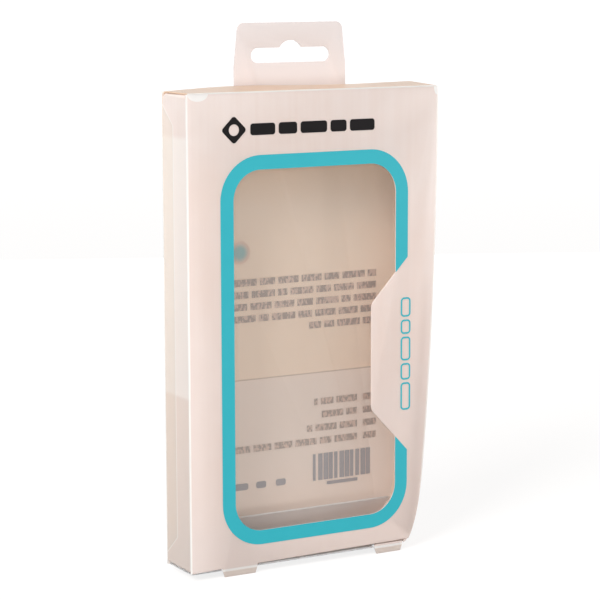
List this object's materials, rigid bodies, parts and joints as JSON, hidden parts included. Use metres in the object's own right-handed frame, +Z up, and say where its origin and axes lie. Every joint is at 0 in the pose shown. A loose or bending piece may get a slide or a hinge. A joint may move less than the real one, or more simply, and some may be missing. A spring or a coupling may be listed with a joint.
{
  "type": "hanging phone case box",
  "caption": "Slim hanging retail box of folded milky plastic sheet with a glazed front window, hang tab, feet, tuck lid and tuck bottom flap.",
  "frame": {"origin": "on the surface under the four feet, under the middle of the box", "axes": "+X to the right across the front, +Y to the back, +Z up; the printed front faces -Y"},
  "size_m": [0.1, 0.0186, 0.1899],
  "materials": {
    "sheet": "satin milky polypropylene sheet",
    "film": "clear glossy film",
    "colour_ink": "screen printed turquoise ink",
    "black_ink": "screen printed black ink",
    "grey_ink": "screen printed dark grey ink"
  },
  "bodies": {
    "box": {"carton": "sheet", "window_film": "film", "frame_print": "colour_ink", "label_print": "colour_ink", "title_print": "black_ink", "rear_print": "grey_ink", "rear_spot": "colour_ink"},
    "top": {"lid": "sheet"},
    "base": {"bottom_flap": "sheet"}
  },
  "joints": [
    {"name": "lid_fold", "type": "hinge", "parent": "box", "child": "top", "pos_m": [0, -0.00895, 0.16715], "axis": [1, 0, 0], "range_deg": [0, 120]},
    {"name": "bottom_fold", "type": "hinge", "parent": "box", "child": "base", "pos_m": [0, -0.00895, 0.00265], "axis": [1, 0, 0], "range_deg": [-120, 0]}
  ]
}
